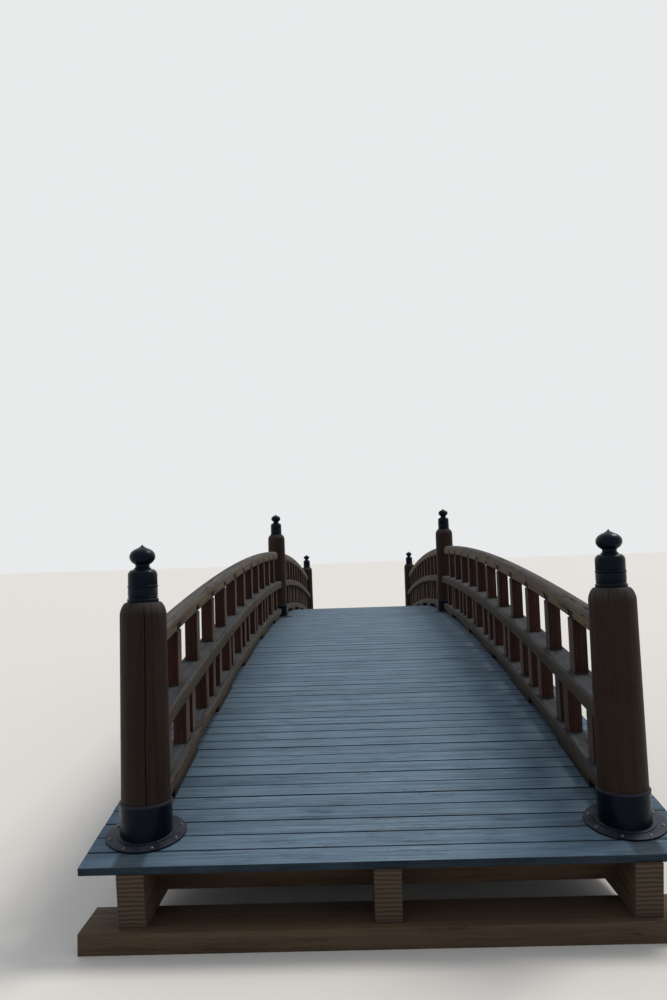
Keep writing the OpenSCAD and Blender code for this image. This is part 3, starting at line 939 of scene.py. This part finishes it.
def cap_profile():
    """Radius and height of the cap in millimetres, from its bottom ring to its tip."""
    # The skirt has a ring at its foot, then a bead, a plain band, another bead and a ledge.
    skirt, band = 74, 77
    points = [(79, 0)] + bead(79, 1, 19, 3) + [(skirt, 20), (skirt, 22)] + bead(skirt, 23, 33, 4)
    points += [(skirt, 34), (76, 35.2), (band, 36.5), (band, 72.5), (76, 74), (skirt, 75)]
    points += bead(band, 76, 88, 2) + [(skirt, 89), (75.4, 90), (76, 91.5)]
    # The shoulder draws in to a neck with a thin collar.
    neck, waist = 44, 37
    points += ellipse(neck, 142, 32, 30, 0, 90, 14)
    points += [(neck, 172.6), (45, 174), (45, 176.5), (43.5, 178), (39, 181.5), (waist, 183.5)]
    # The bulb swells from the waist and runs out into a hollow spire.
    bulb, bulb_height, tip, tip_height, spire_parts = 67, 238, 1.2, 302, 12
    points += ellipse(0, bulb_height, bulb, 50, -math.degrees(math.acos(waist / bulb)), 0, 14)
    points += ellipse(0, bulb_height, bulb, 47, 5, 60, 11)
    foot, foot_height = points[-1]
    for k in range(1, spire_parts + 1):
        share = k / spire_parts
        points.append((tip + (foot - tip) * (1 - share) ** 1.8,
                       foot_height + (tip_height - foot_height) * share))
    return points


def build_caps():
    """Turned metal caps with a ringed skirt, a neck and an onion bulb."""
    metal = coated_iron("black_lacquered_cap", settings("colour").iron, roughness=0.3, dust_and_sky_share=0.18)
    for name, foot, _ in each_post():
        skin = Skin()
        lathe(skin, cap_profile(), foot + Vector((0, 0, POST_TOP)), seed=f"{name} cap")
        skin.make(f"{name}_cap_shell", (metal, metal), "black_metal", [f"{name}_cap"], smooth=34)


def build_bases():
    """Sleeves on round flanges that lean with the deck, each held by a circle of bolts."""
    tints = settings("colour")
    metals = (
        coated_iron("dusty_coated_flange", tints.iron, roughness=0.42, dust_and_sky_share=0.8),
        zinc("galvanised_bolt", tints.bolt),
        coated_iron("black_enamelled_sleeve", tints.iron, roughness=0.24, dust_and_sky_share=0.5),
        # The lip's paler coat is a painted highlight.
        coated_iron("rubbed_sleeve_lip", tints.lip, roughness=0.5, dust_and_sky_share=0.5))
    for name, foot, slope in each_post():
        skin = Skin()
        flange(skin, foot, slope, name)
        sleeve(skin, foot, slope, f"{name} sleeve")
        bolts(skin, foot, slope, f"{name} bolts")
        skin.make(f"{name}_base_iron", metals, "black_metal", [f"{name}_base"], smooth=34)


def flange(skin, foot, slope, name):
    """Round plate with softened edges, and the raised ring on it that holds the sleeve."""
    post = settings("post")
    wide, deep, hub = post.flange_radius / MM, post.flange_depth / MM, post.hub_radius / MM
    within, raised = post.sleeve_radius / MM, deep + post.hub_height / MM
    lathe(skin, [(wide - 2, 0), (wide, 1.5), (wide, deep - 2.5), (wide - 1, deep - 0.8), (wide - 3, deep),
                 (within - 2, deep)], foot, f"{name} flange", slope=slope)
    lathe(skin, [(hub, deep - 1), (hub, raised - 2.5), (hub - 1, raised - 0.8), (hub - 3, raised),
                 (within - 1, raised)], foot, f"{name} hub", slope=slope, ends=False)


def sleeve(skin, foot, slope, seed, sides=96):
    """Upright sleeve round the post's foot, cut to the flange below, with a thin rolled lip at its top."""
    post = settings("post")
    outer, top = post.sleeve_radius, post.sleeve_height
    inner = post_radius(top) + 0.6 * MM
    roll = ((0, -13), (1.2, -12), (1.8, -6), (1.2, -1), (0, 0))
    lip = [(outer + out * MM, top + up * MM) for out, up in roll]
    profile = [(outer, None)] + lip + [(inner, top), (inner, top - 6 * MM)]
    rings = []
    for radius, height in profile:
        ring = circle(sides, radius)
        levels = [slope * p.y + post.flange_depth if height is None else height for p in ring]
        rings.append([foot + Vector((p.x, p.y, level)) for p, level in zip(ring, levels)])
    first = len(skin.faces)
    skin.sweep(rings, [height or 0.0 for _, height in profile], circle(sides, outer), seed, ends=False)
    skin.slots[first:] = [SLEEVE] * sides + [LIP] * (len(skin.faces) - first - sides)


def bolts(skin, foot, slope, seed):
    """Hexagon bolt heads with thin collars, standing on the flange."""
    post = settings("post")
    lean = Matrix.Rotation(math.atan(slope), 3, "X")
    corner = post.bolt_size / MM / math.sqrt(3)
    collar = [(corner + 2, 0), (corner + 2, 1), (corner + 1.4, 1.5), (4, 1.5)]
    head = [(corner, 1.2), (corner, 5), (corner - 1, 5.8), (corner - 2.5, 6)]
    first = len(skin.faces)
    for k in range(post.bolt_count):
        turn = 2 * math.pi * (k + 0.5) / post.bolt_count
        spot = Vector((math.cos(turn), math.sin(turn), 0)) * post.bolt_circle
        base = foot + lean @ (spot + Vector((0, 0, post.flange_depth)))
        for sides, profile in ((24, collar), (6, head)):
            lathe(skin, profile, base, f"{seed} {k}", sides=sides, slope=slope)
    skin.slots[first:] = [BOLT] * (len(skin.faces) - first)


# Frame under the deck
def build_frame():
    """Girders glued from bent layers, the cross beams between them and the two sills."""
    face = wood("treated_frame_timber", "frame", figure_mm=32, fibre_mm=4.5, roughness=0.75, crack=0.5)
    for name, x0 in (("left", -POST_X), ("middle", 0.0), ("right", POST_X)):
        skin = Skin()
        girder(skin, x0, seed=f"{name} girder")
        skin.make(f"{name}_girder_beam", face, "frame_wood", [f"{name}_girder"], smooth=25)
    skin = Skin()
    cross_beams(skin)
    skin.make("cross_beam_set", face, "frame_wood", ["cross_beams"])
    for name in ("near", "far"):
        skin = Skin()
        sill(skin, name)
        skin.make(f"{name}_sill_beam", face, "frame_wood", [f"{name}_sill"])


def girder(skin, x0, seed, parts=64):
    """Arched girder with a shallow groove at each glue line, cut level where it rests on the sills."""
    deck = settings("deck")
    half, deep, layer, groove = deck.girder_width / 2, deck.girder_depth, deck.lamella, 1 * MM
    arc = DECK_ARC.raised(-deck.board_depth)
    reach = arc.along(HALF_LENGTH)
    right = [(half, 0)]
    for k in range(1, int(deep / layer) + 1):
        if layer * k < deep - 5 * MM:
            right += [(half, groove - layer * k), (half - groove, -layer * k), (half, -layer * k - groove)]
    right.append((half, -deep))
    outline = [Vector(p) for p in right] + [Vector((-x, y)) for x, y in reversed(right)]
    marks = [-reach + 2 * reach * i / parts for i in range(parts + 1)]
    rings = []
    for mark in marks:
        ring = [arc.point(x0 + p.x, mark, p.y) for p in outline]
        rings.append([Vector((p.x, p.y, max(p.z, SEAT))) for p in ring])
    skin.sweep(rings, marks, outline, seed)


def cross_beams(skin):
    """Beams between the girders, square to the arch and just clear of the boards."""
    deck = settings("deck")
    half, inner = deck.beam_width / 2, deck.girder_width / 2
    outline = outline_of([(half, -deck.beam_depth, 2 * MM), (half, 0, 2 * MM)], steps=2)
    for k in range(-deck.beam_spaces, deck.beam_spaces + 1):
        along = DECK_ARC.along(k * BAY / deck.beam_spaces)
        top, forward, normal = DECK_ARC.stand(along, -deck.board_depth - 1 * MM)
        for side in (-1, 1):
            span = [side * inner, side * (POST_X - inner)]
            rings = [[top + Vector((x, 0, 0)) + forward * p.x + normal * p.y for p in outline] for x in span]
            skin.sweep(rings, span, outline, seed=f"beam {k} {side}")


def sill(skin, name):
    """Level timber across the bridge, under the ends of the girders."""
    low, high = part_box(f"{name}_sill")
    half, deep, arris = (high.y - low.y) / 2, high.z - low.z, 3 * MM
    middle = (low.y + high.y) / 2
    outline = outline_of([(half, 0, arris), (half, deep, arris)], steps=2)
    span = [low.x, 0.0, high.x]
    rings = [[Vector((x, middle + p.x, p.y)) for p in outline] for x in span]
    skin.sweep(rings, span, outline, seed=f"{name} sill")


# Stage
def seen_directly(tree):
    """One for rays from the camera and for mirrored and refracted ones, nothing for light that spreads."""
    rays = add(tree, "ShaderNodeLightPath").node.outputs
    mirrored = add(tree, "ShaderNodeMath", {
        0: rays["Is Glossy Ray"], 1: rays["Is Transmission Ray"]}, operation="MAXIMUM")
    return add(tree, "ShaderNodeMath", {0: rays["Is Camera Ray"], 1: mirrored}, operation="MAXIMUM")


def studio_floor():
    """Pale floor that spreads a little less light than it shows."""
    reach = 300.0
    corners = [(-reach, -reach, 0), (reach, -reach, 0), (reach, reach, 0), (-reach, reach, 0)]
    mesh = bpy.data.meshes.new("floor")
    mesh.from_pydata(corners, [], [(0, 1, 2, 3)])
    material, tree, shader = blank("pale_studio_floor")
    shade = add(tree, "ShaderNodeMix", {
        "Factor": seen_directly(tree), "A": linear("#bdbbb8"), "B": settings("colour").floor},
        data_type="RGBA")
    feed(tree, shader, {"Base Color": shade, "Roughness": 0.9})
    mesh.materials.append(material)
    placed("floor", mesh)


def studio_light():
    """Soft light from all round, brighter from the far end, and a broad lamp high on the right."""
    world = bpy.data.worlds.new("studio")
    world.use_nodes = True
    tree = world.node_tree
    tree.nodes.clear()
    way = add(tree, "ShaderNodeTexCoord", out="Generated")
    along = add(tree, "ShaderNodeSeparateXYZ", {"Vector": way}, out="Y")
    strength = add(tree, "ShaderNodeMapRange", {
        "Value": along, "From Min": -1.0, "From Max": 1.0, "To Min": 0.3, "To Max": 0.92})
    light = add(tree, "ShaderNodeBackground", {"Color": linear("#f4f6fa"), "Strength": strength})
    seen = add(tree, "ShaderNodeBackground", {"Color": linear("#e9eaeb"), "Strength": 1.0})
    chosen = add(tree, "ShaderNodeMixShader", {0: seen_directly(tree), 1: light, 2: seen})
    add(tree, "ShaderNodeOutputWorld", {"Surface": chosen})
    bpy.context.scene.world = world

    sun = bpy.data.lights.new("key", "SUN")
    sun.energy = 1.6
    sun.angle = math.radians(18)
    sun.color = linear("#fff6ea")[:3]
    placed("key", sun).rotation_euler = Vector((-0.6, -0.4, -1.0)).to_track_quat("-Z", "Y").to_euler()


def photo_camera():
    """Camera at the photograph's place, looking along the deck. Its angles are in radians."""
    eye = Vector((-0.1123, -11.6674, CROWN + 0.8127))
    bearing, tilt, roll = -0.02185, 0.07297, 0.03285
    lens = bpy.data.cameras.new("camera")
    lens.sensor_width = 36
    lens.lens = 28.8
    lens.clip_end = 600
    camera = placed("camera", lens)
    level = math.pi / 2
    camera.matrix_world = (
        Matrix.Translation(eye) @ Matrix.Rotation(-bearing, 4, "Z") @ Matrix.Rotation(level + tilt, 4, "X")
        @ Matrix.Rotation(-roll, 4, "Z"))
    bpy.context.scene.camera = camera


def build_stage():
    """Pale floor, soft light and a camera at the photograph's place."""
    bpy.context.scene.view_settings.view_transform = "Standard"
    studio_floor()
    studio_light()
    photo_camera()


# Add-on
class BRIDGE_OT_deck(bpy.types.Operator):
    """Lays the boards of the deck"""

    bl_idname = "bridge.deck"
    bl_label = "Deck boards"

    def execute(self, context):
        build_deck()
        return {"FINISHED"}


class BRIDGE_OT_rails(bpy.types.Operator):
    """Makes the top, middle and lower rails"""

    bl_idname = "bridge.rails"
    bl_label = "Rails"

    def execute(self, context):
        build_rails()
        return {"FINISHED"}


class BRIDGE_OT_balusters(bpy.types.Operator):
    """Makes the rows of balusters"""

    bl_idname = "bridge.balusters"
    bl_label = "Balusters"

    def execute(self, context):
        build_balusters()
        return {"FINISHED"}


class BRIDGE_OT_posts(bpy.types.Operator):
    """Makes the round posts"""

    bl_idname = "bridge.posts"
    bl_label = "Posts"

    def execute(self, context):
        build_posts()
        return {"FINISHED"}


class BRIDGE_OT_caps(bpy.types.Operator):
    """Makes the onion caps"""

    bl_idname = "bridge.caps"
    bl_label = "Caps"

    def execute(self, context):
        build_caps()
        return {"FINISHED"}


class BRIDGE_OT_bases(bpy.types.Operator):
    """Makes the sleeves, flanges and bolts at the posts' feet"""

    bl_idname = "bridge.bases"
    bl_label = "Post bases"

    def execute(self, context):
        build_bases()
        return {"FINISHED"}


class BRIDGE_OT_frame(bpy.types.Operator):
    """Makes the girders, cross beams and sills"""

    bl_idname = "bridge.frame"
    bl_label = "Frame under the deck"

    def execute(self, context):
        build_frame()
        return {"FINISHED"}


class BRIDGE_OT_stage(bpy.types.Operator):
    """Makes the floor, the light and the camera"""

    bl_idname = "bridge.stage"
    bl_label = "Stage"

    def execute(self, context):
        build_stage()
        return {"FINISHED"}


OPERATORS = (BRIDGE_OT_deck, BRIDGE_OT_rails, BRIDGE_OT_balusters, BRIDGE_OT_posts, BRIDGE_OT_caps,
             BRIDGE_OT_bases, BRIDGE_OT_frame, BRIDGE_OT_stage)
GROUPS = (("bridge_deck", BridgeDeckSettings), ("bridge_rail", BridgeRailSettings),
          ("bridge_post", BridgePostSettings), ("bridge_colour", BridgeColourSettings))


class BRIDGE_PT_panel(bpy.types.Panel):
    """Lists the sizes, the colours and the buttons"""

    bl_idname = "BRIDGE_PT_panel"
    bl_label = "Footbridge"
    bl_space_type = "VIEW_3D"
    bl_region_type = "UI"
    bl_category = "Footbridge"

    def draw(self, context):
        for name, group in GROUPS:
            box = self.layout.box()
            for prop in group.__annotations__:
                box.prop(getattr(context.scene, name), prop)
        for operator in OPERATORS:
            self.layout.operator(operator.bl_idname)


def register():
    for made in [group for _, group in GROUPS] + [*OPERATORS, BRIDGE_PT_panel]:
        bpy.utils.register_class(made)
    for name, group in GROUPS:
        setattr(bpy.types.Scene, name, PointerProperty(type=group))


def unregister():
    for name, _ in GROUPS:
        delattr(bpy.types.Scene, name)
    for made in [BRIDGE_PT_panel, *OPERATORS] + [group for _, group in GROUPS]:
        bpy.utils.unregister_class(made)


def main():
    """Builds the whole scene."""
    register()
    bpy.ops.bridge.stage()
    bpy.ops.bridge.deck()
    bpy.ops.bridge.rails()
    bpy.ops.bridge.balusters()
    bpy.ops.bridge.posts()
    bpy.ops.bridge.caps()
    bpy.ops.bridge.bases()
    bpy.ops.bridge.frame()


if __name__ == "__main__":
    main()
